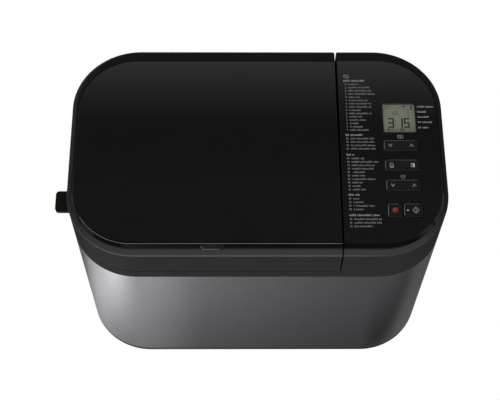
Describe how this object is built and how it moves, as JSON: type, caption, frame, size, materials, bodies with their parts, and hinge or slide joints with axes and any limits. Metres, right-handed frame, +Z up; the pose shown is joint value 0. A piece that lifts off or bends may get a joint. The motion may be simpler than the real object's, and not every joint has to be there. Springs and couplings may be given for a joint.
{
  "type": "bread machine",
  "caption": "Counter-top bread machine: rounded metal-wrapped body, rear-hinged lid over an oven with a bread pan and kneading blade, belt drive and a key panel beside the lid.",
  "frame": {"origin": "middle of the body's footprint, on the surface that the rubber feet stand on", "axes": "+X to the right along the front, +Y towards the rear, +Z up; the lid opens about a line along X at the rear"},
  "size_m": [0.413, 0.2532, 0.294],
  "materials": {
    "base_plastic": "fine spark texture, matt",
    "foot_rubber": "matt rubber",
    "graphite_steel": "dark metallic graphite, satin",
    "frame_plastic": "satin moulded",
    "hook_plastic": "satin moulded, olive black",
    "gloss_black": "high gloss",
    "tab_plastic": "satin",
    "lcd_clear": "clear window",
    "lcd_green": "grey green display",
    "key_black": "satin gloss",
    "lamp_red": "translucent red",
    "board_green": "solder mask",
    "switch_black": "moulded",
    "screw_steel": "bright steel",
    "liner_steel": "coated sheet",
    "seal_rubber": "silicone",
    "heater_steel": "heat-darkened sheath",
    "ceramic_white": "unglazed",
    "cast_aluminium": "die cast",
    "pan_coating": "non-stick coating, satin",
    "sinter_bronze": "sintered",
    "pulley_plastic": "moulded",
    "belt_rubber": "ribbed belt",
    "motor_steel": "zinc plated",
    "capacitor_white": "moulded",
    "relay_blue": "moulded"
  },
  "bodies": {
    "root": {"base_pan": "base_plastic", "rubber_feet": "foot_rubber", "outer_shell": "graphite_steel", "upper_frame": "frame_plastic", "rear_cover": "base_plastic", "cord_gland": "foot_rubber", "cord_hook": "hook_plastic", "control_plate": "gloss_black", "lcd_window": "lcd_clear", "lcd_module": "lcd_green", "control_board": "board_green", "touch_switches": "switch_black", "board_screws": "screw_steel", "hinge_pins": "screw_steel", "oven_liner": "liner_steel", "oven_posts": "screw_steel", "heater_element": "heater_steel", "heater_bushes": "ceramic_white", "heater_brackets": "liner_steel", "temperature_sensor": "screw_steel", "thermal_fuse": "ceramic_white", "pan_seat": "cast_aluminium", "bread_pan": "pan_coating", "pan_ears": "cast_aluminium", "handle_pivots": "screw_steel", "pan_bush": "sinter_bronze", "chassis_plate": "liner_steel", "chassis_screws": "screw_steel", "bearing_housing": "cast_aluminium", "shaft_bushes": "sinter_bronze", "drive_belt": "belt_rubber", "motor_case": "motor_steel", "motor_mounts": "foot_rubber", "motor_capacitor": "capacitor_white", "power_board": "board_green", "relay": "relay_blue", "board_bracket": "liner_steel"},
    "lid": {"lid_frame": "frame_plastic", "lid_top_plate": "gloss_black", "finger_tab": "tab_plastic", "lid_inner_frame": "base_plastic", "lid_liner": "liner_steel", "lid_gasket": "seal_rubber", "lid_screws": "screw_steel"},
    "pan_bail": {"pan_handle": "screw_steel"},
    "drive": {"drive_shaft": "screw_steel", "shaft_clip": "screw_steel", "drive_pulley": "pulley_plastic", "drive_dog": "cast_aluminium"},
    "rotor": {"motor_rotor": "motor_steel", "motor_pulley": "cast_aluminium"},
    "kneader": {"pan_shaft": "screw_steel", "pan_dog": "cast_aluminium", "kneading_blade": "pan_coating"},
    "menu_rocker": {"menu_key": "key_black"},
    "loaf_rocker": {"loaf_key": "key_black"},
    "timer_rocker": {"timer_key": "key_black"},
    "stop_button": {"stop_key": "key_black"},
    "start_button": {"start_key": "key_black", "start_lamp": "lamp_red"}
  },
  "joints": [
    {"name": "lid_hinge", "type": "hinge", "parent": "root", "child": "lid", "pos_m": [-0.055, 0.117, 0.2495], "axis": [-1, 0, 0], "range_deg": [0, 85]},
    {"name": "bail_swing", "type": "hinge", "parent": "root", "child": "pan_bail", "pos_m": [-0.055, 0, 0.186], "axis": [-1, 0, 0], "range_deg": [0, 180]},
    {"name": "rotor_spin", "type": "hinge", "parent": "root", "child": "rotor", "pos_m": [0.128, 0, 0.048], "axis": [0, 0, 1], "continuous": true},
    {"name": "drive_spin", "type": "hinge", "parent": "root", "child": "drive", "pos_m": [-0.055, 0, 0.02], "axis": [0, 0, 1], "continuous": true},
    {"name": "kneader_spin", "type": "hinge", "parent": "root", "child": "kneader", "pos_m": [-0.055, 0, 0.08], "axis": [0, 0, 1], "continuous": true},
    {"name": "menu_rock", "type": "hinge", "parent": "root", "child": "menu_rocker", "pos_m": [0.1495, -0.0015, 0.2925], "axis": [0, 1, 0], "range_deg": [-1.5, 1.5], "stiffness_Nm_per_rad": 0.4},
    {"name": "loaf_rock", "type": "hinge", "parent": "root", "child": "loaf_rocker", "pos_m": [0.1495, -0.0249, 0.2925], "axis": [0, 1, 0], "range_deg": [-1.5, 1.5], "stiffness_Nm_per_rad": 0.4},
    {"name": "timer_rock", "type": "hinge", "parent": "root", "child": "timer_rocker", "pos_m": [0.1495, -0.0483, 0.2925], "axis": [0, 1, 0], "range_deg": [-1.5, 1.5], "stiffness_Nm_per_rad": 0.4},
    {"name": "stop_press", "type": "slide", "parent": "root", "child": "stop_button", "axis": [0, 0, -1], "range_m": [0, 0.0005], "stiffness_N_per_m": 1000},
    {"name": "start_press", "type": "slide", "parent": "root", "child": "start_button", "axis": [0, 0, -1], "range_m": [0, 0.0005], "stiffness_N_per_m": 1000}
  ],
  "couplings": [
    {"joint": "drive_spin", "follows": "rotor_spin", "ratio": 0.2},
    {"joint": "kneader_spin", "follows": "rotor_spin", "ratio": 0.2}
  ]
}
